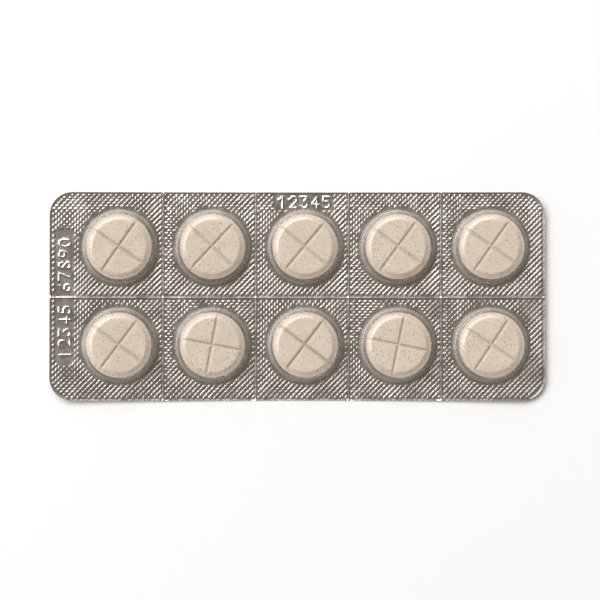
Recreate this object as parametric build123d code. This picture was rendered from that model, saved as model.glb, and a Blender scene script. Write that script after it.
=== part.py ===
"""Ten-tablet blister card: a clear thermoformed film over a heat-sealed foil.

The card lies with its pockets up. X runs along its length, Y across its width and Z up.
The origin is the middle of the card's outline, on the surface that it rests on. The card
is creased a little at its cross score lines, so its ends lift clear of the surface and
only the middle panel rests on it. Each panel has a frame of its own, in which the foil,
the film, the pockets and the tablets are level. Lengths are in millimetres.
"""
from build123d import *
from math import ceil, cos, hypot, radians, sin, sqrt, tan
import os

# Tablets: flat faces, a bevelled edge and two crossed score grooves on the upper face.
TABLET_DIAMETER = 12.4
TABLET_THICKNESS = 4.0
BEVEL_WIDTH = 1.0
BEVEL_DROP = 0.55
FACE_EDGE_RADIUS = 0.8
BAND_EDGE_RADIUS = 0.12
GROOVE_WIDTH = 0.75
GROOVE_DEPTH = 0.34

# Sheets, from the surface up.
FOIL_THICKNESS = 0.03
FILM_THICKNESS = 0.25

# Pockets: a rounded cap on a drafted wall that stands on a low step.
POCKET_WALL = 0.18
SIDE_CLEARANCE = 0.15
TOP_CLEARANCE = 0.45
SHOULDER_CLEARANCE = 0.03
CAP_RADIUS = 1.8
WALL_DRAFT = 5.0
STEP_HEIGHT = 1.1
STEP_WIDTH = 0.3
STEP_SLOPE = 14.0
STEP_RADIUS = 0.17
BASE_RADIUS = 0.3
FLANGE_WIDTH = 0.15

# Layout of the card. Pockets sit a little to the right of the middle of their panels.
COLUMNS = 5
ROWS = 2
POCKET_SHIFT = 0.55
SCORE_MARGIN = 0.7
ROW_GAP = 3.5
SIDE_MARGIN = 2.95
BATCH_MARGIN = 4.0
END_MARGIN = 2.0
CORNER_RADIUS = 4.4

# Score lines: shallow grooves in the film. The cross ones are creased by an angle.
CREASE_ANGLE = 1.0
SCORE_WIDTH = 0.32
SCORE_DEPTH = 0.1
LONG_SCORE_SHIFT = -0.3

# How each tablet lies, by row from the back and column from the left: its turn, and its
# slide along X and Y as shares of the side clearance.
TABLET_LIES = [
    [(55.4, -0.7, 0.1), (47.0, -0.4, 0.3), (50.0, -0.7, 0.2), (53.6, -0.2, 0.2), (54.6, 0.2, 0.2)],
    [(53.1, -0.7, 0.2), (79.3, -0.5, 0.4), (52.7, -0.5, 0.6), (78.1, 0.1, 0.3), (56.3, 0.2, 0.3)],
]

# Spare length on solids that are cut off, or that cut right through.
SPARE = 5.0


def tenth_up(length):
    """A length rounded up to a tenth of a millimetre, as tooling pitches are."""
    return ceil(length * 10 - 1e-6) / 10


def beside(points, distance):
    """An open chain of points moved sideways to its left, with mitred corners."""
    steps = [(b - a).normalized() for a, b in zip(points, points[1:])]
    normals = [Vector(-step.Y, step.X) for step in steps]
    pairs = zip([normals[0]] + normals, normals + [normals[-1]])
    mitres = [(a + b) / (1 + a.dot(b)) for a, b in pairs]
    return [point + mitre * distance for point, mitre in zip(points, mitres)]


def height_over_shoulder():
    """The least pocket height whose rounded cap clears the shoulder of a slid tablet."""
    slide = SIDE_CLEARANCE * max(hypot(x, y) for lies in TABLET_LIES for _, x, y in lies)
    round_r = CAP_RADIUS - POCKET_WALL
    round_centre = cap_r - round_r / tan(radians((90 + WALL_DRAFT) / 2))
    reach = TABLET_DIAMETER / 2 + slide - round_centre
    rise = sqrt((round_r - SHOULDER_CLEARANCE) ** 2 - reach ** 2)
    return TABLET_THICKNESS - BEVEL_DROP + round_r - rise


# The inside of a pocket, from its axis down to the foil, and the same chain on the outside.
cap_r = TABLET_DIAMETER / 2 + SIDE_CLEARANCE
pocket_height = max(TABLET_THICKNESS + TOP_CLEARANCE, height_over_shoulder())
spread = tan(radians(WALL_DRAFT))
step_r = cap_r + (pocket_height - STEP_HEIGHT) * spread
step_foot = STEP_HEIGHT - STEP_WIDTH * tan(radians(STEP_SLOPE))
base_r = step_r + STEP_WIDTH + step_foot * spread
inside = [
    Vector(0, pocket_height),
    Vector(cap_r, pocket_height),
    Vector(step_r, STEP_HEIGHT),
    Vector(step_r + STEP_WIDTH, step_foot),
    Vector(base_r, 0),
]
outside = beside(inside, POCKET_WALL)
outer_base_r = outside[-1].X + (outside[-1].Y - FILM_THICKNESS) * spread
flange_r = outer_base_r + BASE_RADIUS + FLANGE_WIDTH

panel_pitch = tenth_up(2 * (flange_r + POCKET_SHIFT + SCORE_MARGIN))
row_pitch = tenth_up(2 * flange_r + ROW_GAP)
card_length = COLUMNS * panel_pitch + BATCH_MARGIN + END_MARGIN
card_width = (ROWS - 1) * row_pitch + 2 * tenth_up(flange_r + SIDE_MARGIN)
score_centre = (BATCH_MARGIN - END_MARGIN) / 2
middle = COLUMNS // 2
slopes = [CREASE_ANGLE * (column - middle) for column in range(COLUMNS)]


def underside_chain():
    """The folded underside in the XZ plane, left to right: two long ends and the creases."""
    right = [Vector(panel_pitch / 2, 0)]
    for slope in slopes[middle + 1:]:
        length = panel_pitch if slope < slopes[-1] else panel_pitch + BATCH_MARGIN + SPARE
        right.append(right[-1] + Vector(cos(radians(slope)), sin(radians(slope))) * length)
    left = [Vector(-point.X, point.Y) for point in reversed(right)]
    return [point + Vector(score_centre, 0) for point in left + right]


def panel_frame(column):
    """One panel's frame: on its underside, midway between its score lines."""
    chain = underside_chain()
    inner_crease, side = (chain[column + 1], -1) if column < middle else (chain[column], 1)
    slope = radians(slopes[column])
    centre = inner_crease + Vector(cos(slope), sin(slope)) * (side * panel_pitch / 2)
    return Location((centre.X, 0, centre.Y), (0, -slopes[column], 0))


def pocket_frame(row, column):
    """One pocket's frame: on the foil, at the middle of the pocket."""
    y = (row_pitch / 2) * (1 - 2 * row)
    return panel_frame(column) * Location((POCKET_SHIFT, y, FOIL_THICKNESS))


def card_sheet(low, high):
    """The part of the folded card between two heights above its underside."""
    chain = underside_chain()
    section = Polygon(*beside(chain, low), *reversed(beside(chain, high)), align=None)
    folded = extrude(Plane.XZ * section, card_width / 2 + SPARE, both=True)
    outline = extrude(RectangleRounded(card_length, card_width, CORNER_RADIUS), SPARE, both=True)
    return folded & outline


def score_cutter(length):
    """A V-shaped bar along Y that cuts one score line into a film surface at Z = 0."""
    section = Polygon(
        (0, -SCORE_DEPTH),
        (SCORE_WIDTH, SCORE_DEPTH),
        (-SCORE_WIDTH, SCORE_DEPTH),
        align=None,
    )
    return extrude(Plane.XZ * section, length / 2, both=True)


def pocket_shell():
    """One pocket's wall and the ring of flat film round its foot, about Z."""
    section = Polygon(
        *outside[:-1],
        (outer_base_r, FILM_THICKNESS),
        (flange_r, FILM_THICKNESS),
        (flange_r, 0),
        *reversed(inside),
        align=None,
    )
    rounded_corners = [
        (outside[1], CAP_RADIUS),
        (inside[1], CAP_RADIUS - POCKET_WALL),
        (outside[2], STEP_RADIUS),
        (outside[3], STEP_RADIUS),
        (inside[2], STEP_RADIUS),
        (inside[3], STEP_RADIUS),
        (Vector(outer_base_r, FILM_THICKNESS), BASE_RADIUS),
        (inside[4], BASE_RADIUS + FILM_THICKNESS),
    ]
    for corner, radius in rounded_corners:
        section = fillet(section.vertices().sort_by_distance(corner)[0], radius)
    return revolve(Plane.XZ * section, Axis.Z)


def blister_film():
    """The film: the folded sheet with its pockets, score lines and rounded corners."""
    film_top = FOIL_THICKNESS + FILM_THICKNESS
    film = card_sheet(FOIL_THICKNESS, film_top)
    creases = beside(underside_chain(), film_top)
    for crease in creases[1:-1]:
        film -= Location((crease.X, 0, crease.Y)) * score_cutter(card_width + SPARE)
    for start, end, slope in zip(creases, creases[1:], slopes):
        centre = (start + end) / 2
        place = Location((centre.X, LONG_SCORE_SHIFT, centre.Y), (0, -slope, 0))
        film -= place * Rot(0, 0, 90) * score_cutter((end - start).length)
    hole = Cylinder(flange_r, SPARE)
    shell = pocket_shell()
    for row in range(ROWS):
        for column in range(COLUMNS):
            film -= pocket_frame(row, column) * hole
            film += pocket_frame(row, column) * shell
    return film


def lidding_foil():
    """The foil: one thin sheet over the whole underside."""
    return card_sheet(0, FOIL_THICKNESS)


def tablet():
    """One tablet standing on Z = 0, with its upper face scored along X and Y."""
    face_r = TABLET_DIAMETER / 2 - BEVEL_WIDTH
    band_r = TABLET_DIAMETER / 2
    section = Polygon(
        (0, 0),
        (face_r, 0),
        (band_r, BEVEL_DROP),
        (band_r, TABLET_THICKNESS - BEVEL_DROP),
        (face_r, TABLET_THICKNESS),
        (0, TABLET_THICKNESS),
        align=None,
    )
    for height in (0, TABLET_THICKNESS):
        corner = Vector(face_r, height)
        section = fillet(section.vertices().sort_by_distance(corner)[0], FACE_EDGE_RADIUS)
    for height in (BEVEL_DROP, TABLET_THICKNESS - BEVEL_DROP):
        corner = Vector(band_r, height)
        section = fillet(section.vertices().sort_by_distance(corner)[0], BAND_EDGE_RADIUS)
    body = revolve(Plane.XZ * section, Axis.Z)
    groove_section = Polygon(
        (0, TABLET_THICKNESS - GROOVE_DEPTH),
        (GROOVE_WIDTH, TABLET_THICKNESS + GROOVE_DEPTH),
        (-GROOVE_WIDTH, TABLET_THICKNESS + GROOVE_DEPTH),
        align=None,
    )
    groove = extrude(Plane.XZ * groove_section, TABLET_DIAMETER, both=True)
    return body - groove - Rot(0, 0, 90) * groove


def placed_tablets():
    """Each tablet in its pocket, by node name."""
    shape = tablet()
    placed = {}
    for row, lies in enumerate(TABLET_LIES):
        for column, (turn, slide_x, slide_y) in enumerate(lies):
            slide = Location((slide_x * SIDE_CLEARANCE, slide_y * SIDE_CLEARANCE, 0), (0, 0, turn))
            placed[f"tablet_{row + 1}_{column + 1}"] = pocket_frame(row, column) * slide * shape
    return placed


def main():
    nodes = {"lidding_foil": lidding_foil(), "blister_film": blister_film()}
    nodes.update(placed_tablets())
    os.makedirs("parts", exist_ok=True)
    for name, solid in nodes.items():
        export_step(solid, f"parts/{name}.step")


main()
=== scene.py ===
"""Looks of a ten-tablet blister card: a knurled foil, a clear pocketed film and scored tablets.

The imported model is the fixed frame. Sizes in the settings are in metres. The mesh code
works in millimetres and scales each finished mesh. Plan positions are seen from above.
"""
from math import cos, hypot, pi, radians, sin, sqrt, tan
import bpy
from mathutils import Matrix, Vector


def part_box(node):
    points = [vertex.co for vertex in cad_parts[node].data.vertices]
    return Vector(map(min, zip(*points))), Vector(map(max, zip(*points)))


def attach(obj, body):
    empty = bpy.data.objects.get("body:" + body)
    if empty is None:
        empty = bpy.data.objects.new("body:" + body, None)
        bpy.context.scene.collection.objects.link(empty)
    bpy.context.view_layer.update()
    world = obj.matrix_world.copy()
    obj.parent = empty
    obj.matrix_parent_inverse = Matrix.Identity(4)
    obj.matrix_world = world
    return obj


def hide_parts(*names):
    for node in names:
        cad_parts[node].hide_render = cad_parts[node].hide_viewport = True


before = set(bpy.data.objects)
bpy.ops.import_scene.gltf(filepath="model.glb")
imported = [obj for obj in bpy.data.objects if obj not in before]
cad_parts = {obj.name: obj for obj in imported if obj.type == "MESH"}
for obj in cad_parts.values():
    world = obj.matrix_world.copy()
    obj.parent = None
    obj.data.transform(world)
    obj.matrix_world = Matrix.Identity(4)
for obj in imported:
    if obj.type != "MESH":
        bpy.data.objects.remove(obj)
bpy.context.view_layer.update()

from types import SimpleNamespace

import bpy
import numpy as np
from mathutils import Matrix, Vector
from mathutils.geometry import delaunay_2d_cdt

bl_info = {
    "name": "Blister card",
    "version": (1, 0, 0),
    "blender": (4, 5, 0),
    "location": "3D View > Sidebar > Blister card",
    "description": "Builds a blister card of ten tablets round its packed model",
    "category": "Object",
}

# One millimetre in metres, and one metre in millimetres.
MM = 0.001
METRE = 1000

COLUMNS = 5
ROWS = 2

# How each tablet lies, by row from the back and column from the left: its turn in degrees,
# and its slide along X and Y as shares of the side clearance.
TABLET_LIES = [
    [(55.4, -0.7, 0.1), (47.0, -0.4, 0.3), (50.0, -0.7, 0.2), (53.6, -0.2, 0.2), (54.6, 0.2, 0.2)],
    [(53.1, -0.7, 0.2), (79.3, -0.5, 0.4), (52.7, -0.5, 0.6), (78.1, 0.1, 0.3), (56.3, 0.2, 0.3)],
]

# Stains on tablet bevels, by row and column: azimuth of each in degrees, its width, its depth.
BEVEL_STAINS = {
    (0, 3): [(284.0, 14.0, 0.95), (326.0, 6.0, 0.8)],
    (1, 3): [(12.0, 11.0, 0.7), (238.0, 8.0, 0.8)],
}

# Share of the groove colour in the score grooves, deepest at their bottoms: where there is more, it
# is yellow stain with painted shade, and elsewhere it is painted shade alone.
GROOVE_STAIN_AND_SHADE_SHARES = {(0, 0): 0.55, (1, 2): 0.8}
GROOVE_SHADE = 0.35

# A stain's distance from the tablet's middle, and its spread.
STAIN_RING = 5.75
STAIN_SPREAD = 0.3

# Lines of plain digits: text, start, the ways along it and up it, and spacing.
DIGIT_LINES = [
    ("12345 67890", (-43.55, -11.9), (0, 1), (-1, 0), 2.15),
    ("12345", (-3.45, 17.05), (1, 0), (0, 1), 2.1),
]

# Plain patches round the digits: centre, half the size and corner radius.
PLAIN_PATCHES = [((-44.55, -0.1), (1.75, 13.1), 0.9), ((1.38, 18.1), (5.7, 1.6), 0.6)]

# Strokes of plain digits, in hundredths of their height.
DIGITS = {
    "0": [(30, 0), (10, 8), (0, 30), (0, 70), (10, 92), (30, 100), (50, 92), (60, 70), (60, 30),
          (50, 8), (30, 0)],
    "1": [(10, 80), (32, 100), (32, 0)],
    "2": [(0, 80), (15, 100), (45, 100), (60, 80), (58, 62), (0, 0), (60, 0)],
    "3": [(0, 100), (58, 100), (26, 60), (50, 52), (60, 28), (45, 3), (15, 0), (0, 14)],
    "4": [(45, 0), (45, 100), (0, 30), (62, 30)],
    "5": [(58, 100), (6, 100), (2, 56), (36, 60), (60, 42), (60, 20), (40, 0), (10, 0), (0, 12)],
    "6": [(50, 100), (15, 66), (0, 30), (10, 6), (30, 0), (50, 6), (60, 28), (46, 50), (20, 52),
          (3, 38)],
    "7": [(0, 100), (60, 100), (20, 0)],
    "8": [(30, 54), (6, 72), (12, 95), (30, 100), (48, 95), (54, 72), (30, 54), (2, 30), (10, 5),
          (30, 0), (50, 5), (58, 30), (30, 54)],
    "9": [(10, 0), (45, 34), (60, 70), (50, 94), (30, 100), (10, 94), (0, 72), (14, 50), (40, 48),
          (57, 62)],
}


# ---- settings

def length(name, millimetres, description):
    """A length property whose default is given in millimetres."""
    return bpy.props.FloatProperty(
        name=name, description=description, default=millimetres * MM, unit="LENGTH", precision=5
    )


def angle(name, in_degrees, description):
    """An angle property whose default is given in degrees."""
    return bpy.props.FloatProperty(
        name=name, description=description, default=radians(in_degrees), unit="ROTATION"
    )


def colour(name, default, description):
    """A linear colour property."""
    return bpy.props.FloatVectorProperty(
        name=name, description=description, default=default, size=3, subtype="COLOR",
        min=0.0, max=1.0,
    )


def share(name, default, description):
    """A plain number from 0 to 1."""
    return bpy.props.FloatProperty(
        name=name, description=description, default=default, min=0.0, max=1.0, subtype="FACTOR"
    )


class CardSizes(bpy.types.PropertyGroup):
    """Sizes of the sealed sheet"""
    panel_pitch: length("Panel pitch", 17.8, "From one cross score line to the next")
    row_pitch: length("Row pitch", 18.8, "From one row of pockets to the other")
    corner_radius: length("Corner radius", 4.4, "Radius of the card's corners")
    score_centre: length("Score centre", 1.0, "Shift of the middle panel along X")
    long_score: length("Long score", -0.3, "Shift of the long score line along Y")
    pocket_shift: length("Pocket shift", 0.55, "Shift of pockets in their panels")
    foil: length("Foil", 0.03, "Thickness of the lidding foil")
    film: length("Film", 0.25, "Thickness of the film between pockets")
    gap: length("Seal gap", 0.002, "Space left between the foil and the film")
    crease: angle("Crease", 1.0, "Angle of each cross score line")
    knurl_pitch: length("Knurl pitch", 0.742, "Pitch of the sealing knurl")
    knurl_height: length("Knurl height", 0.066, "Height of the sealing knurl")
    knurl_land: share("Knurl land", 0.14, "Flat beside a bump, as a share of the pitch")
    knurl_saddle: share("Knurl saddle", 0.6, "Height between joined bumps, as a share of theirs")
    dish_height: length("Dish height", 0.04, "How far the seal rises between pockets")
    dish_reach: length("Dish reach", 2.4, "How fast it rises away from a pocket")
    ridge_height: length("Ridge height", 0.046, "Height of a score line's ridge")
    ridge_width: length("Ridge width", 0.24, "Half the width of that ridge")
    edge_lift: length("Edge lift", 0.05, "How far the cut edge curls up")
    edge_width: length("Edge width", 0.3, "Width of that curl")
    digit_height: length("Digit height", 2.1, "Height of the plain digits")
    digit_relief: length("Digit relief", 0.042, "How far a digit's strokes stand up")
    stroke_width: length("Stroke width", 0.11, "Half the width of a digit's stroke")


class PocketSizes(bpy.types.PropertyGroup):
    """Sizes of one pocket"""
    height: length("Height", 4.45, "Inside height above the foil")
    wall: length("Wall", 0.18, "Thickness of the pocket's wall")
    cap_r: length("Cap radius", 6.35, "Inside radius at the top of the wall")
    cap_round: length("Cap rounding", 1.8, "Outside rounding of the cap's edge")
    draft: angle("Draft", 5.0, "Lean of the wall")
    step_height: length("Step height", 1.1, "Height of the step round the foot")
    step_width: length("Step width", 0.3, "Width of the step")
    step_slope: angle("Step slope", 14.0, "Fall of the step outwards")
    step_round: length("Step rounding", 0.17, "Rounding of the step's corners")
    base_round: length("Base rounding", 0.3, "Rounding where the wall meets the film")
    flange: length("Flange", 0.08, "Plain ring round the foot")
    clearance: length("Side clearance", 0.15, "Room beside a tablet")
    rim_width: length("Rim width", 0.13, "Reach of the light line along a fold")


class TabletSizes(bpy.types.PropertyGroup):
    """Sizes of one tablet"""
    diameter: length("Diameter", 12.4, "Diameter of the tablet")
    thickness: length("Thickness", 4.0, "Thickness of the tablet")
    bevel_width: length("Bevel width", 1.0, "Width of the bevelled edge")
    bevel_drop: length("Bevel drop", 0.66, "Height of the bevelled edge")
    face_round: length("Face rounding", 0.6, "Rounding between the face and the bevel")
    band_round: length("Band rounding", 0.05, "Rounding of the side's edge")
    land: length("Land", 0.13, "Flat ring between the bevel and the side")
    groove_width: length("Groove width", 0.375, "Half the width of a score groove")
    groove_depth: length("Groove depth", 0.46, "Depth of a score groove")
    groove_round: length("Groove rounding", 0.12, "Wear along a groove's edges")


class CardFinish(bpy.types.PropertyGroup):
    """Colours and finishes"""
    foil_light: colour("Foil light", (0.86, 0.83, 0.79), "Lighter tone of the foil")
    foil_dark: colour("Foil dark", (0.74, 0.70, 0.65), "Darker tone of the foil")
    foil_roughness: share("Foil roughness", 0.25, "Roughness of the foil")
    film_tint: colour("Film tint", (0.975, 0.972, 0.965), "What the film lets through")
    # Painted shade: the film lets less light through edge-on, darkening its walls in place of the
    # light that they bend away.
    film_edge_shade: colour("Film edge", (0.36, 0.31, 0.27), "What it lets through edge-on")
    film_roughness: share("Film roughness", 0.2, "Roughness of the film")
    # Painted reflection: a white sheen on the film edge-on, standing in for its walls' reflections.
    film_sheen_edge_on: share("Film haze", 0.42, "How milky the film is edge-on")
    # Painted highlight: light lines along the film's folds.
    film_fold_glints: share("Film folds", 0.8, "How milky its folds are")
    tablet_light: colour("Tablet light", (0.83, 0.74, 0.65), "Main tone of the tablets")
    tablet_dark: colour("Tablet dark", (0.74, 0.64, 0.54), "Darker mottle of the tablets")
    speck: colour("Speck", (0.50, 0.38, 0.27), "Fine specks in the tablets")
    stain: colour("Stain", (0.50, 0.22, 0.055), "Stains on some bevels")
    # Yellow stain in some grooves, and painted shade in all of them.
    groove_stain_and_shade: colour("Groove tint", (0.52, 0.41, 0.26), "Yellow tint in some grooves")


class StudioSettings(bpy.types.PropertyGroup):
    """Light, floor and camera"""
    floor: colour("Floor", (0.95, 0.95, 0.95), "Colour of the floor")
    overhead: colour("Overhead", (0.150, 0.131, 0.114), "Light from straight above")
    horizon: colour("Horizon", (0.60, 0.59, 0.575), "Light from low all around")
    box_width: length("Light width", 2760, "Width of the soft light")
    box_height: length("Light height", 1060, "Height of the soft light")
    box_distance: length("Light distance", 1800, "Distance of the soft light")
    box_azimuth: angle("Light azimuth", 134, "Direction of the soft light, from +X")
    box_elevation: angle("Light elevation", 52.5, "Elevation of the soft light")
    box_watts: bpy.props.FloatProperty(
        name="Light power", description="Power of the soft light", default=46.5, unit="POWER"
    )
    camera_height: length("Camera height", 460, "Height of the camera over the card")
    field: length("Field", 115.4, "Width of the view at the card")
    aim_x: length("Aim X", 0.52, "Where the camera looks, along X")
    aim_y: length("Aim Y", -0.69, "Where the camera looks, along Y")
    lean_x: length("Lean X", -2, "How far right of that the camera stands")
    lean_y: length("Lean Y", -12, "How far it stands behind that")


class BlisterSettings(bpy.types.PropertyGroup):
    """All settings of the card"""
    card: bpy.props.PointerProperty(name="Card", description="Sheet sizes", type=CardSizes)
    pocket: bpy.props.PointerProperty(name="Pocket", description="Pocket sizes", type=PocketSizes)
    tablet: bpy.props.PointerProperty(name="Tablet", description="Tablet sizes", type=TabletSizes)
    finish: bpy.props.PointerProperty(name="Finish", description="Colours", type=CardFinish)
    studio: bpy.props.PointerProperty(name="Studio", description="Stage", type=StudioSettings)


def in_mm(group):
    """The group's lengths in millimetres and its angles in radians."""
    values = {}
    for key in group.__annotations__:
        value = getattr(group, key)
        unit = group.bl_rna.properties[key].unit
        values[key] = value / MM if unit == "LENGTH" else value
    return SimpleNamespace(**values)


# ---- shapes in plan

def smooth(low, high, value):
    """A smooth step from 0 at low to 1 at high."""
    part = np.clip((value - low) / (high - low), 0, 1)
    return part * part * (3 - 2 * part)


def rounded_box(x, y, centre, half, radius):
    """Distance outside a box with rounded corners; negative inside."""
    dx = np.abs(x - centre[0]) - half[0] + radius
    dy = np.abs(y - centre[1]) - half[1] + radius
    outside = np.hypot(np.maximum(dx, 0), np.maximum(dy, 0))
    return outside + np.minimum(np.maximum(dx, dy), 0) - radius


def fine_chain(points, spacing):
    """A chain of points with more of them on its long runs."""
    made = [points[0]]
    for (x0, y0), (x1, y1) in zip(points, points[1:]):
        count = max(1, int(hypot(x1 - x0, y1 - y0) / spacing))
        made += [(x0 + (x1 - x0) * i / count, y0 + (y1 - y0) * i / count)
                 for i in range(1, count + 1)]
    return made


def rounded_loop(centre, half, radius, spacing):
    """Points round a box with rounded corners, anticlockwise."""
    steps = max(4, int(radius * pi / 2 / spacing) + 1)
    arcs = []
    for sx, sy, start in ((1, -1, -90), (1, 1, 0), (-1, 1, 90), (-1, -1, 180)):
        cx = centre[0] + sx * (half[0] - radius)
        cy = centre[1] + sy * (half[1] - radius)
        turns = [radians(start + 90 * i / steps) for i in range(steps + 1)]
        arcs.append([(cx + radius * cos(t), cy + radius * sin(t)) for t in turns])
    loop = []
    for arc, following in zip(arcs, arcs[1:] + arcs[:1]):
        loop += arc + fine_chain([arc[-1], following[0]], spacing)[1:-1]
    return loop


def fold_chain(card):
    """Plan positions and heights of the folded underside's creases, with two long ends."""
    x, z = card.panel_pitch / 2, 0.0
    right = [(x, z)]
    for turn in (1, 2):
        run = turn * card.panel_pitch
        x, z = x + run * cos(turn * card.crease), z + run * sin(turn * card.crease)
        right.append((x, z))
    chain = [(-x, z) for x, z in reversed(right)] + right
    return [(x + card.score_centre, z) for x, z in chain]


def underside(x, card):
    """Height of the folded underside over plan positions."""
    xs, zs = zip(*fold_chain(card))
    return np.interp(x, xs, zs)


def pocket_frames(card):
    """Each pocket's frame, by row and column: on the foil, at the pocket's middle."""
    chain = fold_chain(card)
    middle = COLUMNS // 2
    frames = {}
    for column in range(COLUMNS):
        slope = card.crease * (column - middle)
        inner, side = (chain[column + 1], -1) if column < middle else (chain[column], 1)
        reach = side * card.panel_pitch / 2
        x, z = inner[0] + cos(slope) * reach, inner[1] + sin(slope) * reach
        panel = Matrix.Translation((x, 0, z)) @ Matrix.Rotation(-slope, 4, "Y")
        for row in range(ROWS):
            y = card.row_pitch / 2 * (1 - 2 * row)
            frames[row, column] = panel @ Matrix.Translation((card.pocket_shift, y, card.foil))
    return frames


def stroke_lines(card):
    """The plain digits' strokes, each a list of plan points."""
    size = card.digit_height
    lines = []
    for text, start, along, up, spacing in DIGIT_LINES:
        for place, digit in enumerate(text):
            lines.append([
                tuple(s + a * (place * spacing + u / 100 * size) + b * (v / 100) * size
                      for s, a, b in zip(start, along, up))
                for u, v in DIGITS.get(digit, [])
            ])
    return [line for line in lines if line]


def distance_to_lines(x, y, lines):
    """Distance from each plan position to the nearest stroke."""
    best = np.full(len(x), np.inf)
    for line in lines:
        for (x0, y0), (x1, y1) in zip(line, line[1:]):
            dx, dy = x1 - x0, y1 - y0
            part = np.clip(((x - x0) * dx + (y - y0) * dy) / (dx * dx + dy * dy), 0, 1)
            best = np.minimum(best, np.hypot(x - x0 - part * dx, y - y0 - part * dy))
    return best


class Drawing:
    """Points and kept lines in plan."""

    def __init__(self):
        self.points, self.edges = [], []

    def add_chain(self, points):
        """Adds an open line of points that the triangles keep."""
        first = len(self.points)
        self.points += points
        indices = list(range(first, len(self.points)))
        self.edges += list(zip(indices, indices[1:]))
        return indices

    def add_loop(self, points):
        """Adds a closed line of points that the triangles keep."""
        indices = self.add_chain(points)
        self.edges.append((indices[-1], indices[0]))
        return indices

    def triangulate(self, nearness):
        """Plan positions, triangles and the place of each added point; near points join."""
        found = delaunay_2d_cdt([Vector(p) for p in self.points], self.edges, [], 0, nearness)
        vertices, _, faces, sources = found[:4]
        place = {source: index for index, inputs in enumerate(sources) for source in inputs}
        x, y = (np.array([v[axis] for v in vertices]) for axis in (0, 1))
        return x, y, np.array([list(face) for face in faces]), place


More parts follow.
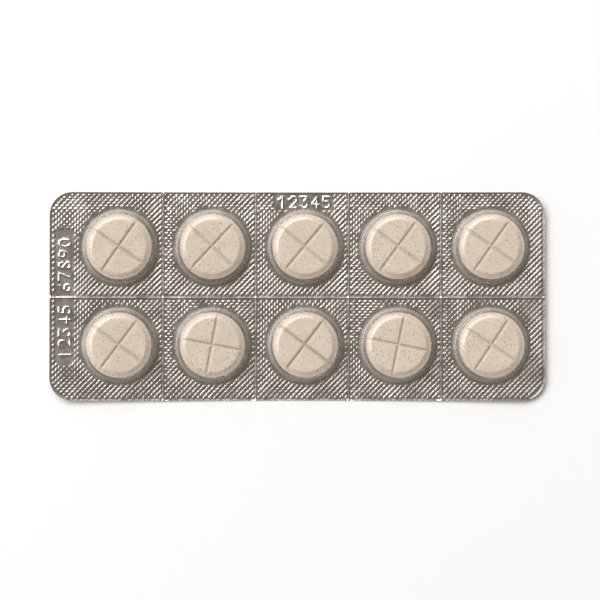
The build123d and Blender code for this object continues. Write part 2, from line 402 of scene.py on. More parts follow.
class Plan(Drawing):
    """The card's triangulation in plan, and its relief over the folded underside."""

    # Counts of points: round a flange ring, and along the cross and the long score lines.
    RING = 64
    CROSS_POINTS = 90
    LONG_POINTS = 190

    # Spacing of points.
    OUTLINE_STEP = 0.5
    LINE_STEP = 0.4
    STROKE_STEP = 0.25

    # A ridge's shoulders as a share of its half width, and the gap from its end to the edge.
    SHOULDER = 0.35
    SCORE_INSET = 0.02

    # The finer ring's distance outside a flange ring, and the knurl points' from lines and rings.
    FINE_RING = 0.1
    LINE_ROOM = 0.07
    POCKET_ROOM = 0.17

    # Room round a stroke, in half widths.
    STROKE_ROOM = 1.8

    # Plain foil beside a score line, and the runs over which the knurl and the ridges fade out.
    SCORE_ROOM = 0.1
    KNURL_FADE = 0.2
    RIDGE_FADE = 0.4

    def __init__(self, card, pocket_r):
        super().__init__()
        low, high = (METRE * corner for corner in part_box("lidding_foil"))
        self.card = card
        self.half = ((high.x - low.x) / 2, (high.y - low.y) / 2)
        self.pocket_r = pocket_r
        self.creases = [x for x, _ in fold_chain(card)[1:-1]]
        self.frames = pocket_frames(card)
        self.strokes = stroke_lines(card)
        outline = self.add_loop(
            rounded_loop((0, 0), self.half, card.corner_radius, self.OUTLINE_STEP)
        )
        inner = [side - card.edge_width for side in (*self.half, card.corner_radius)]
        self.add_loop(rounded_loop((0, 0), inner[:2], inner[2], self.LINE_STEP))
        rings = {key: self.add_loop(self.ring(key)) for key in self.frames}
        for key in self.frames:
            self.add_loop(self.ring(key, self.FINE_RING, 3 * self.RING))
        self.add_scores()
        for patch in PLAIN_PATCHES:
            self.add_loop(rounded_loop(*patch, self.LINE_STEP))
        self.add_strokes()
        self.add_lattice()
        self.x, self.y, self.triangles, place = self.triangulate(nearness=1e-5)
        self.outline = [place[i] for i in outline]
        self.rings = {key: [place[i] for i in ring] for key, ring in rings.items()}
        middles = [axis[self.triangles].mean(1) for axis in (self.x, self.y)]
        self.in_pocket = self.pocket_distance(*middles) < 0
        self.relief = self.relief_at(self.x, self.y)

    def ring(self, key, outside=0.0, count=RING):
        """Plan points of a pocket's flange ring, or of a ring outside it."""
        r = self.pocket_r + outside
        turns = [2 * pi * i / count for i in range(count)]
        at = [Vector((r * cos(t), r * sin(t), 0)) for t in turns]
        return [tuple((self.frames[key] @ point)[:2]) for point in at]

    def add_scores(self):
        """Adds five lines along each score line: its crest, its shoulders and its feet."""
        width = self.card.ridge_width
        shoulder = self.SHOULDER * width
        self.score_offsets = (-width, -shoulder, 0, shoulder, width)
        reach_x, reach_y = (side - self.SCORE_INSET for side in self.half)
        xs = np.linspace(-reach_x, reach_x, self.LONG_POINTS)
        ys = np.linspace(-reach_y, reach_y, self.CROSS_POINTS)
        for offset in self.score_offsets:
            for crease in self.creases:
                self.add_chain([(crease + offset, y) for y in ys])
            self.add_chain([(x, self.card.long_score + offset) for x in xs])

    def add_strokes(self):
        """Adds the digits' strokes, each a crest and two feet, and points on the plain patches."""
        for line in self.strokes:
            fine = fine_chain(line, self.STROKE_STEP)
            self.add_chain(fine)
            for side in (-1, 1):
                self.add_chain(offset_chain(fine, side * self.card.stroke_width))
        for centre, half, _ in PLAIN_PATCHES:
            xs, ys = (
                np.arange(middle - reach + 0.2, middle + reach - 0.1, self.LINE_STEP)
                for middle, reach in zip(centre, half)
            )
            x, y = (grid.ravel() for grid in np.meshgrid(xs, ys))
            keep = distance_to_lines(x, y, self.strokes) > self.STROKE_ROOM * self.card.stroke_width
            self.points += list(zip(x[keep].tolist(), y[keep].tolist()))

    def add_lattice(self):
        """Adds the knurl's points: both feet and the crest of each bump, on both diagonals."""
        pitch, land = self.card.knurl_pitch, self.card.knurl_land
        count = int(hypot(*self.half) / pitch) + 1
        line = np.add.outer(np.arange(-count, count + 1), (land, 0.5, 1 - land)).ravel() * pitch
        a, b = (grid.ravel() for grid in np.meshgrid(line, line))
        x, y = (a + b) / sqrt(2), (a - b) / sqrt(2)
        keep = (np.abs(x) < self.half[0]) & (np.abs(y) < self.half[1])
        x, y = x[keep], y[keep]
        keep = self.clear_of_lines(x, y) > self.LINE_ROOM
        keep &= self.pocket_distance(x, y) > self.POCKET_ROOM
        for offset in self.score_offsets:
            keep &= self.score_distance(x, y, offset) > self.LINE_ROOM
        self.points += list(zip(x[keep].tolist(), y[keep].tolist()))

    def clear_of_lines(self, x, y):
        """Distance to the nearest edge, score line, pocket or plain patch; negative inside."""
        card = self.card
        clear = -rounded_box(x, y, (0, 0), self.half, card.corner_radius) - card.edge_width
        clear = np.minimum(clear, self.score_distance(x, y) - self.SCORE_ROOM)
        clear = np.minimum(clear, self.pocket_distance(x, y))
        for patch in PLAIN_PATCHES:
            clear = np.minimum(clear, rounded_box(x, y, *patch))
        return clear

    def score_distance(self, x, y, offset=0.0):
        """Distance from the nearest score line, or from the lines an offset beside each."""
        best = np.abs(y - self.card.long_score - offset)
        for crease in self.creases:
            best = np.minimum(best, np.abs(x - crease - offset))
        return best

    def from_pocket(self, x, y):
        """The way to each position from the middle of its nearest pocket."""
        centres = np.array([matrix.translation for matrix in self.frames.values()])
        dx, dy = np.subtract.outer(x, centres[:, 0]), np.subtract.outer(y, centres[:, 1])
        nearest = np.arange(len(x)), np.hypot(dx, dy).argmin(1)
        return dx[nearest], dy[nearest]

    def pocket_distance(self, x, y):
        """Distance from the nearest pocket's flange ring; negative inside."""
        return np.hypot(*self.from_pocket(x, y)) - self.pocket_r

    def relief_at(self, x, y):
        """Height of the pressed sheet over the folded underside."""
        card = self.card
        away = np.maximum(self.pocket_distance(x, y), 0)
        height = card.dish_height * (1 - np.exp(-away / card.dish_reach))
        for off in [x - crease for crease in self.creases] + [y - card.long_score]:
            ridge = card.ridge_height * (1 - smooth(0, 1, np.abs(off) / card.ridge_width))
            height = height + ridge * smooth(0, self.RIDGE_FADE, away)
        height = height + card.knurl_height * self.knurl(x, y)
        inside = -rounded_box(x, y, (0, 0), self.half, card.corner_radius)
        height = height + card.edge_lift * (1 - smooth(0, card.edge_width, inside))
        strokes = np.clip(1 - distance_to_lines(x, y, self.strokes) / card.stroke_width, 0, 1)
        return height + card.digit_relief * smooth(0, 1, strokes)

    def knurl(self, x, y):
        """The sealing knurl: bumps on a diagonal lattice, joined where it pressed deeper."""
        pitch, land = self.card.knurl_pitch, self.card.knurl_land
        waves = []
        for phase in ((x + y) / sqrt(2) / pitch, (x - y) / sqrt(2) / pitch):
            part = phase - np.floor(phase)
            waves.append(np.clip((np.minimum(part, 1 - part) - land) / (0.5 - land), 0, 1))
        saddle = self.card.knurl_saddle * self.joined(x, y)
        bumps = waves[1] * (saddle + (1 - saddle) * waves[0])
        uneven = 1 + 0.12 * np.sin(0.71 * x + 1.3) * np.sin(0.53 * y - 0.4)
        return bumps * uneven * smooth(0.0, self.KNURL_FADE, self.clear_of_lines(x, y))

    def joined(self, x, y):
        """How far the bumps run together: least at the back left of each pocket."""
        dx, dy = self.from_pocket(x, y)
        part = (dx - dy) / np.maximum(np.hypot(dx, dy), 0.1) / sqrt(2)
        wander = 0.25 * np.sin(0.9 * x + 0.5 * y) * np.sin(0.6 * y - 0.35 * x + 1.0)
        return smooth(-0.9, 0.5, part + wander)

    def surface(self, lift):
        """Positions of the sheet's points, raised by a lift."""
        z = underside(self.x, self.card) + self.relief + lift
        return np.stack([self.x, self.y, z], 1)


# ---- meshes

# How much a level face still counts when normals lean towards steep ones.
LEVEL_WEIGHT = 0.002

# The longest step of an arc in degrees, and the longest run between two rings of a pocket.
POCKET_ARC = 16
TABLET_ARC = 12
RING_STEP = 1.6

# Points round a tablet's edge, and round the rings on its face out to a radius.
EDGE_POINTS = 144
FACE_POINTS = 72
FACE_REACH = 4
FACE_RINGS = [0.9, 1.6, 2.3, 3.0, 3.7, 4.3, 4.75]

# Lines along a groove, the points along each, and the gaps at their ends and beside grooves.
GROOVE_LINES = (0.0, 0.09, 0.2)
GROOVE_POINTS = 41
END_GAP = 0.01
FACE_GAP = 0.05

# How much lower a groove's worn edge is.
WORN_DEPTH = 0.02


def in_scene(name, data):
    """A new object in the scene."""
    made = bpy.data.objects.new(name, data)
    bpy.context.scene.collection.objects.link(made)
    return made


def mesh_object(name, vertices, faces, flat_faces=()):
    """A mesh piece from millimetres, smooth except for its flat faces."""
    mesh = bpy.data.meshes.new(name)
    mesh.from_pydata([tuple(MM * float(c) for c in v) for v in vertices], [], faces)
    mesh.polygons.foreach_set("use_smooth", [i not in flat_faces for i in range(len(faces))])
    mesh.update()
    return in_scene(name, mesh)


def read(items, name, size, kind=float):
    """A property of many items, as an array with a row for each."""
    values = np.empty(size * len(items), dtype=kind)
    items.foreach_get(name, values)
    return values.reshape(-1, size)


def keep_slopes(piece, count):
    """Leans the normals of the first triangles' corners towards their steeper faces.

    The bumps have no line of points along their flanks, so plain averages would halve them.
    """
    mesh = piece.data
    normals = read(mesh.polygons, "normal", 3)[:count]
    areas = read(mesh.polygons, "area", 1)[:count]
    corners = read(mesh.loops, "vertex_index", 1, int)[:3 * count, 0]
    corner_normals = read(mesh.corner_normals, "vector", 3)
    weights = areas * (LEVEL_WEIGHT + 1 - np.abs(normals[:, 2:]))
    leans = np.zeros((len(mesh.vertices), 3))
    np.add.at(leans, corners, np.repeat(weights * normals, 3, axis=0))
    found = leans[corners]
    corner_normals[:3 * count] = found / np.linalg.norm(found, axis=1)[:, None]
    mesh.normals_split_custom_set(corner_normals.tolist())


def rounded_chain(points, radii, fine):
    """A chain of corners with arcs of the given radii; fine is the longest turn per step."""
    made = [points[0]]
    for before, corner, after, radius in zip(points, points[1:], points[2:], radii):
        corner = Vector(corner)
        a = (Vector(before) - corner).normalized()
        b = (Vector(after) - corner).normalized()
        half = a.angle(b) / 2
        reach = radius / tan(half)
        middle = corner + (a + b).normalized() * (radius / sin(half))
        start, end = corner + a * reach - middle, corner + b * reach - middle
        turn = start.angle_signed(end)
        steps = max(2, int(abs(turn) / fine) + 1)
        for i in range(steps + 1):
            spin = -turn * i / steps
            made.append(tuple(middle + Vector((
                start.x * cos(spin) - start.y * sin(spin),
                start.x * sin(spin) + start.y * cos(spin),
            ))))
    made.append(points[-1])
    return made


def offset_chain(points, distance):
    """A chain of corners moved sideways, with mitred corners."""
    vectors = [Vector(p) for p in points]
    steps = [(b - a).normalized() for a, b in zip(vectors, vectors[1:])]
    normals = [Vector((-s.y, s.x)) for s in steps]
    made = []
    for point, a, b in zip(vectors, [normals[0]] + normals, normals + [normals[-1]]):
        made.append(tuple(point + (a + b) / (1 + a.dot(b)) * distance))
    return made


def pocket_sections(pocket, film):
    """The pocket's outside and inside sections, from the flange ring to the middle."""
    spread = tan(pocket.draft)
    step_r = pocket.cap_r + (pocket.height - pocket.step_height) * spread
    step_foot = pocket.step_height - pocket.step_width * tan(pocket.step_slope)
    base_r = step_r + pocket.step_width + step_foot * spread
    inside = [
        (0, pocket.height),
        (pocket.cap_r, pocket.height),
        (step_r, pocket.step_height),
        (step_r + pocket.step_width, step_foot),
        (base_r, 0),
    ]
    outside = offset_chain(inside, pocket.wall)
    outer_base_r = outside[-1][0] + (outside[-1][1] - film) * spread
    flange_r = outer_base_r + pocket.base_round + pocket.flange
    outer = outside[:-1] + [(outer_base_r, film), (flange_r, film)]
    inner = inside + [(flange_r, 0)]
    corners = outer[2:5]
    cap, step, base = pocket.cap_round, pocket.step_round, pocket.base_round
    arc = radians(POCKET_ARC)
    outer = rounded_chain(outer, [cap, step, step, base], arc)
    inner = rounded_chain(inner, [cap - pocket.wall, step, step, base + film], 1.5 * arc)
    outer, inner = (fine_chain(section[::-1], RING_STEP) for section in (outer, inner))
    return outer, inner, flange_r, corners


def add_shell(vertices, faces, ring, section, matrix, upwards):
    """Adds a revolved surface that starts at a ring of vertices and closes at the axis."""
    order = slice(None) if upwards else slice(None, None, -1)
    count = len(ring)
    turns = [2 * pi * i / count for i in range(count)]
    for r, z in section[1:-1]:
        row = list(range(len(vertices), len(vertices) + count))
        vertices += [tuple(matrix @ Vector((r * cos(t), r * sin(t), z))) for t in turns]
        for i in range(count):
            j = (i + 1) % count
            faces.append([ring[i], ring[j], row[j], row[i]][order])
        ring = row
    tip = len(vertices)
    vertices.append(tuple(matrix @ Vector((0, 0, section[-1][1]))))
    faces += [[a, b, tip][order] for a, b in zip(ring, ring[1:] + ring[:1])]


def rim_values(section, corners, width, count):
    """How near each point of a revolved surface is to a fold of the film, from 0 to 1."""
    values = []
    for r, z in section[1:-1]:
        away = min(hypot(r - corner_r, z - corner_z) for corner_r, corner_z in corners)
        values += [max(0.0, 1 - away / width)] * count
    return values + [0.0]


def join_outline(top_loop, bottom_loop):
    """Faces of the wall between two loops, outwards."""
    pairs = list(zip(top_loop, bottom_loop))
    return [[a, b, d, c] for (a, b), (c, d) in zip(pairs, pairs[1:] + pairs[:1])]


def paint(piece, name, values):
    """Keeps a value for each of the piece's points, for its material to read."""
    piece.data.attributes.new(name, "FLOAT", "POINT").data.foreach_set("value", values)


# ---- materials

# The film's index, its most gloss and the share of it left edge-on. The white of the painted
# sheen edge-on and of the painted highlight lines along its folds, in place of their reflections,
# and how much of that light passes through.
FILM_INDEX = 1.38
MOST_GLOSS = 0.13
EDGE_GLOSS = 0.15
PAINTED_SHEEN = (0.86, 0.83, 0.80)
PAINTED_SHEEN_THROUGH = 0.35


def material(name):
    """An empty node material and its node tree."""
    made = bpy.data.materials.new(name)
    made.use_nodes = True
    made.node_tree.nodes.clear()
    return made, made.node_tree


def feed(tree, target, socket, value):
    """Sets a socket to a plain value, or links an output or a node's first output to it."""
    socket = target.inputs[socket]
    if isinstance(value, bpy.types.Node):
        value = value.outputs[0]
    if isinstance(value, bpy.types.NodeSocket):
        tree.links.new(value, socket)
    elif socket.type == "RGBA":
        socket.default_value = (*value, 1)
    else:
        socket.default_value = value


def make(tree, kind, settings=None, values=(), **sockets):
    """A node with its settings, its first sockets fed in order and others by name."""
    made = tree.nodes.new(kind)
    for key, value in (settings or {}).items():
        setattr(made, key, value)
    for socket, value in enumerate(values):
        feed(tree, made, socket, value)
    for key, value in sockets.items():
        feed(tree, made, key.replace("_", " "), value)
    return made


def maths(tree, operation, *values, clamp=False):
    """A Math node."""
    return make(tree, "ShaderNodeMath", {"operation": operation, "use_clamp": clamp}, values)


def from_range(tree, value, low, high, to_low=0.0, to_high=1.0, easing="LINEAR"):
    """A value moved from one range to another."""
    return make(
        tree, "ShaderNodeMapRange", {"interpolation_type": easing},
        Value=value, From_Min=low, From_Max=high, To_Min=to_low, To_Max=to_high,
    )


MOTTLE_INPUTS = {"Stretch": (1, 1, 1), "Scale": 1000, "Detail": 3, "Low": 0, "High": 1}


def mottle_group():
    """Shared mottle: a soft noise between two values, at a scale and a stretch."""
    group = bpy.data.node_groups.get("Mottle")
    if group:
        return group
    group = bpy.data.node_groups.new("Mottle", "ShaderNodeTree")
    for name, default in MOTTLE_INPUTS.items():
        kind = "NodeSocketVector" if name == "Stretch" else "NodeSocketFloat"
        socket = group.interface.new_socket(name=name, in_out="INPUT", socket_type=kind)
        socket.default_value = default
    group.interface.new_socket(name="Value", in_out="OUTPUT", socket_type="NodeSocketFloat")
    given = group.nodes.new("NodeGroupInput").outputs
    place = make(group, "ShaderNodeTexCoord").outputs["Object"]
    stretch = make(
        group, "ShaderNodeVectorMath", {"operation": "MULTIPLY"}, (place, given["Stretch"])
    )
    noise = make(
        group, "ShaderNodeTexNoise",
        Vector=stretch, Scale=given["Scale"], Detail=given["Detail"],
    )
    spread = from_range(group, noise, 0.3, 0.7, given["Low"], given["High"])
    make(group, "NodeGroupOutput", Value=spread)
    return group


def mottle(tree, scale, low=0.0, high=1.0, detail=3.0, stretch=(1, 1, 1)):
    """A placed mottle group."""
    return make(
        tree, "ShaderNodeGroup", {"node_tree": mottle_group()},
        Scale=scale, Low=low, High=high, Detail=detail, Stretch=stretch,
    )


def blend(tree, part, first, second, kind="RGBA"):
    """A mix of two colours, or of two values."""
    made = make(tree, "ShaderNodeMix", {"data_type": kind})
    sockets, result = ((0, 6, 7), 2) if kind == "RGBA" else ((0, 2, 3), 0)
    for socket, value in zip(sockets, (part, first, second)):
        feed(tree, made, socket, value)
    return made.outputs[result]


def mix_shaders(tree, *values):
    """A mix of two shaders, after the share of the second."""
    return make(tree, "ShaderNodeMixShader", None, values)


def attribute(tree, name):
    """A value kept for each point of the piece."""
    return make(tree, "ShaderNodeAttribute", {"attribute_name": name}).outputs["Fac"]


def bump(tree, height, strength, distance):
    """A normal that follows a height."""
    return make(tree, "ShaderNodeBump", Strength=strength, Distance=distance, Height=height)


def finish_material(made, tree, shader):
    """Links a shader to the material's output."""
    make(tree, "ShaderNodeOutputMaterial", Surface=shader)
    return made


def foil_material(finish):
    """Soft aluminium foil: rolling lines, a faint mottle and uneven gloss."""
    made, tree = material("Lidding foil")
    rough = finish.foil_roughness
    shader = make(
        tree, "ShaderNodeBsdfPrincipled",
        Base_Color=blend(tree, mottle(tree, 180, detail=4), finish.foil_dark, finish.foil_light),
        Metallic=1.0,
        Roughness=mottle(tree, 420, rough - 0.05, rough + 0.06),
        Normal=bump(tree, mottle(tree, 900, detail=2, stretch=(0.05, 1, 1)), 0.25, 0.00001),
    )
    return finish_material(made, tree, shader)


def film_material(finish):
    """Clear thermoformed film: what it lets through, darkened edge-on as painted shade, painted
    highlight lines along its folds, a painted white sheen edge-on, and gloss on both faces.
    """
    made, tree = material("Clear film")
    normal = bump(tree, mottle(tree, 110, detail=1.5), 0.1, 0.00002)
    slant = make(tree, "ShaderNodeLayerWeight", Blend=0.5).outputs["Facing"]
    edge_on = from_range(tree, slant, 0.62, 0.97, easing="SMOOTHSTEP")
    # Painted shade: what passes darkens as the film is seen edge-on.
    through = blend(tree, edge_on, finish.film_tint, finish.film_edge_shade)
    clear = make(tree, "ShaderNodeBsdfTransparent", Color=through)
    # Painted sheen and painted highlight lines: a white lit by the lamps, in place of the
    # reflections on the walls and folds.
    lit_front = make(tree, "ShaderNodeBsdfDiffuse", Color=PAINTED_SHEEN)
    lit_behind = make(tree, "ShaderNodeBsdfTranslucent", Color=PAINTED_SHEEN)
    painted_sheen = mix_shaders(tree, PAINTED_SHEEN_THROUGH, lit_front, lit_behind)
    # Painted reflection: the white sheen grows as the film is seen edge-on.
    edge_sheen = maths(tree, "MULTIPLY", edge_on, finish.film_sheen_edge_on)
    # Painted highlight: light lines along the folds, added to the sheen.
    rim = attribute(tree, "rim")
    folds = maths(tree, "MULTIPLY_ADD", rim, finish.film_fold_glints, edge_sheen, clamp=True)
    body = mix_shaders(tree, folds, clear, painted_sheen)
    rough = finish.film_roughness
    gloss = make(
        tree, "ShaderNodeBsdfAnisotropic",
        Color=(1, 1, 1), Roughness=mottle(tree, 500, rough * 0.7, rough * 1.5), Normal=normal,
    )
    outside, inside = (
        make(tree, "ShaderNodeFresnel", IOR=index, Normal=normal)
        for index in (FILM_INDEX, 1 / FILM_INDEX)
    )
    from_inside = make(tree, "ShaderNodeNewGeometry").outputs["Backfacing"]
    either = blend(tree, from_inside, outside, inside, "FLOAT")
    shine = maths(
        tree, "MULTIPLY",
        maths(tree, "MINIMUM", either, MOST_GLOSS),
        from_range(tree, edge_on, 0.0, 1.0, 1.0, EDGE_GLOSS),
    )
    return finish_material(made, tree, mix_shaders(tree, shine, body, gloss))


def tablet_material(finish):
    """Pressed powder: cream with a darker mottle, brown specks, stains, painted shade in the score
    grooves and a grainy surface.
    """
    made, tree = material("Pressed tablet")
    dark = finish.tablet_dark
    body = blend(tree, mottle(tree, 330, detail=5), finish.tablet_light, dark)
    body = blend(tree, mottle(tree, 1500, high=0.5, detail=2), body, dark)
    specks = from_range(tree, mottle(tree, 3000, detail=1), 0.70, 1.0, to_high=0.85)
    body = blend(tree, specks, body, finish.speck)
    # Painted shade in the score grooves, darkest at their bottoms, with yellow stain in some.
    body = blend(tree, attribute(tree, "groove_stain_and_shade"), body, finish.groove_stain_and_shade)
    patchy = maths(tree, "MULTIPLY", attribute(tree, "stain"), mottle(tree, 1400, 0.35))
    shader = make(
        tree, "ShaderNodeBsdfPrincipled",
        Base_Color=blend(tree, patchy, body, finish.stain),
        Roughness=mottle(tree, 900, 0.55, 0.75),
        Normal=bump(tree, mottle(tree, 2600, detail=2), 0.5, 0.00003),
        Specular_IOR_Level=0.3,
    )
    return finish_material(made, tree, shader)


def floor_material(studio):
    """A plain pale floor with a trace of unevenness."""
    made, tree = material("Pale floor")
    uneven = tuple(0.985 * c for c in studio.floor)
    shader = make(
        tree, "ShaderNodeBsdfPrincipled",
        Base_Color=blend(tree, mottle(tree, 6), studio.floor, uneven),
        Roughness=0.9, Specular_IOR_Level=0.0,
    )
    return finish_material(made, tree, shader)


# ---- pieces

def build_foil(settings):
    """The knurled foil under the whole card."""
    card = in_mm(settings.card)
    _, _, flange_r, _ = pocket_sections(in_mm(settings.pocket), card.film)
    plan = Plan(card, flange_r)
    count = len(plan.x)
    vertices = np.concatenate([plan.surface(card.foil), plan.surface(0)])
    faces = plan.triangles.tolist() + (plan.triangles[:, ::-1] + count).tolist()
    first_wall = len(faces)
    faces += join_outline(plan.outline, [i + count for i in plan.outline])
    foil = mesh_object("foil_sheet", vertices, faces, range(first_wall, len(faces)))
    keep_slopes(foil, first_wall)
    foil.data.materials.append(foil_material(settings.finish))
    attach(foil, "root")
    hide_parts("lidding_foil")


def build_film(settings):
    """The clear film: the pressed sheet with its ten pockets, inside and outside."""
    card, pocket = in_mm(settings.card), in_mm(settings.pocket)
    outer, inner, flange_r, corners = pocket_sections(pocket, card.film)
    plan = Plan(card, flange_r)
    sheet = plan.triangles[~plan.in_pocket]
    used = np.unique(sheet)
    place = np.full(len(plan.x), -1)
    place[used] = np.arange(len(used))
    count = len(used)
    top = plan.surface(card.foil + card.film)[used]
    bottom = plan.surface(card.foil + card.gap)[used]
    vertices = [tuple(v) for v in np.concatenate([top, bottom])]
    faces = place[sheet].tolist() + (place[sheet][:, ::-1] + count).tolist()
    outline = [int(place[i]) for i in plan.outline]
    first_wall = len(faces)
    faces += join_outline(outline, [i + count for i in outline])
    flat = range(first_wall, len(faces))
    rims = [0.0] * len(vertices)
    for key, matrix in plan.frames.items():
        ring = [int(place[i]) for i in plan.rings[key]]
        add_shell(vertices, faces, ring, outer, matrix, True)
        # Where the painted highlight lines run along the film's folds.
        rims += rim_values(outer, corners, pocket.rim_width, len(ring))
        add_shell(vertices, faces, [i + count for i in ring], inner, matrix, False)
        rims += [0.0] * (len(vertices) - len(rims))
    film = mesh_object("film_shell", vertices, faces, flat)
    paint(film, "rim", rims)
    keep_slopes(film, first_wall)
    film.data.materials.append(film_material(settings.finish))
    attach(film, "root")
    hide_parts("blister_film")


def tablet_profile(tablet):
    """The edge of the upper half, from the flat face out and down to the band."""
    face_r, band_r = tablet.diameter / 2 - tablet.bevel_width, tablet.diameter / 2
    top, half = tablet.thickness, tablet.thickness / 2
    land_z = top - tablet.bevel_drop
    points = [(0, top), (face_r, top), (band_r - tablet.land, land_z), (band_r, land_z),
              (band_r, half)]
    radii = [tablet.face_round, tablet.band_round, tablet.band_round]
    return rounded_chain(points, radii, radians(TABLET_ARC))


def groove_cut(off, tablet):
    """Depth of a score groove across it, with worn edges."""
    depth = tablet.groove_depth * np.clip(1 - np.abs(off) / tablet.groove_width, 0, 1)
    from_edge = np.abs(np.abs(off) - tablet.groove_width)
    worn = np.clip(1 - from_edge / tablet.groove_round, 0, 1)
    return depth + WORN_DEPTH * worn * worn


def tablet_mesh_parts(tablet):
    """Plan triangles and heights of a tablet's scored upper face, and its band loop."""
    profile = tablet_profile(tablet)[1:-1]
    width, worn = tablet.groove_width, tablet.groove_round
    offsets = sorted({*GROOVE_LINES, width - worn / 2, width, width + worn})
    offsets = [-o for o in offsets[:0:-1]] + offsets
    band_r = tablet.diameter / 2
    rings = [r for r, _ in profile]
    turns = [2 * pi * i / EDGE_POINTS for i in range(EDGE_POINTS)]
    drawing = Drawing()
    drawing.add_loop([(band_r * cos(t), band_r * sin(t)) for t in turns])
    for r in FACE_RINGS + [ring for ring in rings[:-1] if ring <= band_r - END_GAP / 2]:
        count = EDGE_POINTS if r > FACE_REACH else FACE_POINTS
        for i in range(count):
            x, y = r * cos(2 * pi * i / count), r * sin(2 * pi * i / count)
            if min(abs(x), abs(y)) > width + worn + FACE_GAP:
                drawing.points.append((x, y))
    for offset in offsets:
        end = sqrt((band_r - END_GAP) ** 2 - offset ** 2)
        crossings = [sqrt(r * r - offset * offset) for r in rings if r < band_r - 2 * END_GAP]
        along = np.unique(np.concatenate([
            np.linspace(-end, end, GROOVE_POINTS), crossings, [-s for s in crossings]
        ])).tolist()
        drawing.add_chain([(offset, s) for s in along])
        drawing.add_chain([(s, offset) for s in along])
    x, y, triangles, place = drawing.triangulate(nearness=1e-4)
    plain = np.interp(np.hypot(x, y), *zip(*profile))
    depth = np.maximum(groove_cut(x, tablet), groove_cut(y, tablet))
    z = np.minimum(plain, tablet.thickness - depth)
    return x, y, z, depth, triangles, [place[i] for i in range(EDGE_POINTS)]


def build_tablet(name, tablet, lies, matrix, clearance, stains, groove_share, finish, parts):
    """One tablet standing in its pocket, with its stains and the painted shade in its score
    grooves.
    """
    x, y, z, depth, triangles, loop = parts
    count = len(x)
    r = np.hypot(x, y)
    under = tablet.thickness - np.interp(r, *zip(*tablet_profile(tablet)[1:-1]))
    upper = np.stack([x, y, z], 1)
    lower = np.stack([x, y, under], 1)
    faces = triangles.tolist() + (triangles[:, ::-1] + count).tolist()
    faces += join_outline(loop, [i + count for i in loop])
    turn, slide_x, slide_y = lies
    lie = (
        matrix
        @ Matrix.Translation((slide_x * clearance, slide_y * clearance, 0))
        @ Matrix.Rotation(radians(turn), 4, "Z")
    )
    vertices = [tuple(lie @ Vector(v)) for v in np.concatenate([upper, lower]).tolist()]
    piece = mesh_object(name, vertices, faces)
    azimuth = (np.degrees(np.arctan2(y, x)) + turn) % 360
    on_bevel = np.exp(-(((r - STAIN_RING) / STAIN_SPREAD) ** 2))
    stain = np.zeros(count)
    for middle, width, strength in stains:
        away = np.abs((azimuth - middle + 180) % 360 - 180)
        stain = np.maximum(stain, strength * np.exp(-((away / width) ** 2)) * on_bevel)
    # Painted shade down into each groove, with yellow stain where its share is larger.
    tint = groove_share * np.clip(depth / tablet.groove_depth, 0, 1)
    paint(piece, "stain", np.concatenate([stain, np.zeros(count)]))
    paint(piece, "groove_stain_and_shade", np.concatenate([tint, np.zeros(count)]))
    piece.data.materials.append(finish)
    return piece


def build_tablets(settings):
    """Ten tablets, each in its own pocket and at its own turn."""
    card, pocket = in_mm(settings.card), in_mm(settings.pocket)
    tablet = in_mm(settings.tablet)
    finish = tablet_material(settings.finish)
    parts = tablet_mesh_parts(tablet)
    for (row, column), matrix in pocket_frames(card).items():
        piece = build_tablet(
            f"scored_tablet_{row + 1}_{column + 1}", tablet, TABLET_LIES[row][column], matrix,
            pocket.clearance, BEVEL_STAINS.get((row, column), []),
            GROOVE_STAIN_AND_SHADE_SHARES.get((row, column), GROOVE_SHADE), finish, parts,
        )
        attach(piece, "root")
        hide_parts(f"tablet_{row + 1}_{column + 1}")


# The floor's reach and its gap under the card, and the heights between which the sky turns from
# horizon to overhead.
FLOOR_REACH = 3000
FLOOR_GAP = 0.03
SKY_TURN = (0.25, 0.72)


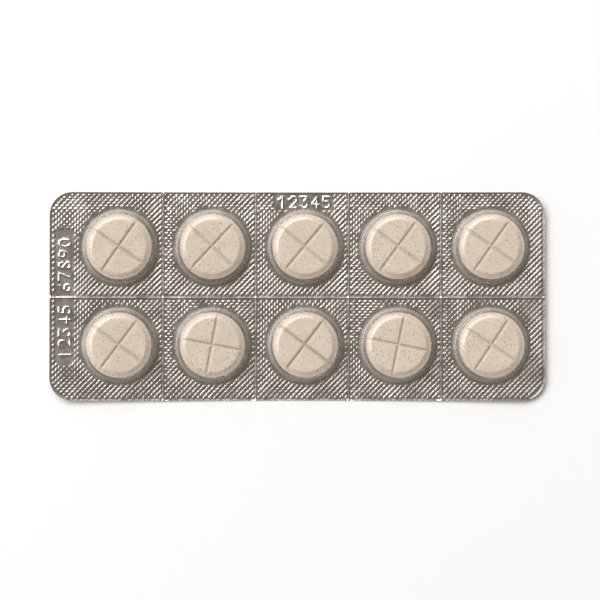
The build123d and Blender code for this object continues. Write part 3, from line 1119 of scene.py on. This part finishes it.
def build_stage(settings):
    """A plain floor, one large soft light and the camera."""
    scene = bpy.context.scene
    studio = settings.studio
    reach, z = FLOOR_REACH, -FLOOR_GAP
    corners = [(-reach, -reach, z), (reach, -reach, z), (reach, reach, z), (-reach, reach, z)]
    floor = mesh_object("floor", corners, [(0, 1, 2, 3)])
    floor.data.materials.append(floor_material(studio))

    world = bpy.data.worlds.new("Studio")
    world.use_nodes = True
    tree = world.node_tree
    around = make(tree, "ShaderNodeTexCoord").outputs["Generated"]
    height = make(tree, "ShaderNodeSeparateXYZ", None, (around,)).outputs["Z"]
    high = from_range(tree, height, *SKY_TURN, easing="SMOOTHSTEP")
    sky = blend(tree, high, studio.horizon, studio.overhead)
    feed(tree, tree.nodes["Background"], "Color", sky)
    scene.world = world

    light = bpy.data.lights.new("Soft box", "AREA")
    light.shape = "RECTANGLE"
    light.size, light.size_y = studio.box_width, studio.box_height
    light.energy = studio.box_watts
    key = in_scene("Soft box", light)
    turn, rise = studio.box_azimuth, studio.box_elevation
    towards = Vector((cos(rise) * cos(turn), cos(rise) * sin(turn), sin(rise)))
    key.location = towards * studio.box_distance
    key.rotation_euler = towards.to_track_quat("Z", "Y").to_euler()

    lens = bpy.data.cameras.new("Camera")
    lens.sensor_width = 36
    aim = Vector((studio.aim_x, studio.aim_y, 0))
    place = aim + Vector((studio.lean_x, studio.lean_y, studio.camera_height))
    lens.lens = lens.sensor_width * (place - aim).length / studio.field
    camera = in_scene("Camera", lens)
    camera.location = place
    back = (place - aim).normalized()
    right = Vector((0, 1, 0)).cross(back).normalized()
    up = back.cross(right)
    camera.rotation_euler = Matrix((right, up, back)).transposed().to_euler()
    scene.camera = camera
    scene.view_settings.view_transform = "Standard"


# ---- operators and panel

class BLISTER_OT_foil(bpy.types.Operator):
    """Build the knurled lidding foil"""
    bl_idname = "blister.foil"
    bl_label = "Lidding foil"

    def execute(self, context):
        build_foil(context.scene.blister)
        return {"FINISHED"}


class BLISTER_OT_film(bpy.types.Operator):
    """Build the clear film with its ten pockets"""
    bl_idname = "blister.film"
    bl_label = "Pocketed film"

    def execute(self, context):
        build_film(context.scene.blister)
        return {"FINISHED"}


class BLISTER_OT_tablets(bpy.types.Operator):
    """Build the ten scored tablets"""
    bl_idname = "blister.tablets"
    bl_label = "Tablets"

    def execute(self, context):
        build_tablets(context.scene.blister)
        return {"FINISHED"}


class BLISTER_OT_stage(bpy.types.Operator):
    """Build the floor, the light and the camera"""
    bl_idname = "blister.stage"
    bl_label = "Stage"

    def execute(self, context):
        build_stage(context.scene.blister)
        return {"FINISHED"}


class BLISTER_PT_panel(bpy.types.Panel):
    """The card's pieces, in the sidebar"""
    bl_idname = "BLISTER_PT_panel"
    bl_label = "Blister card"
    bl_space_type = "VIEW_3D"
    bl_region_type = "UI"
    bl_category = "Blister card"

    def draw(self, context):
        for name in OPERATOR_NAMES:
            self.layout.operator(name)


OPERATOR_NAMES = ("blister.stage", "blister.foil", "blister.film", "blister.tablets")
CLASSES = (
    CardSizes, PocketSizes, TabletSizes, CardFinish, StudioSettings, BlisterSettings,
    BLISTER_OT_foil, BLISTER_OT_film, BLISTER_OT_tablets, BLISTER_OT_stage, BLISTER_PT_panel,
)


def register():
    for cls in CLASSES:
        bpy.utils.register_class(cls)
    bpy.types.Scene.blister = bpy.props.PointerProperty(type=BlisterSettings)


def unregister():
    del bpy.types.Scene.blister
    for cls in reversed(CLASSES):
        bpy.utils.unregister_class(cls)


def main():
    register()
    bpy.ops.blister.stage()
    bpy.ops.blister.foil()
    bpy.ops.blister.film()
    bpy.ops.blister.tablets()


if __name__ == "__main__":
    main()
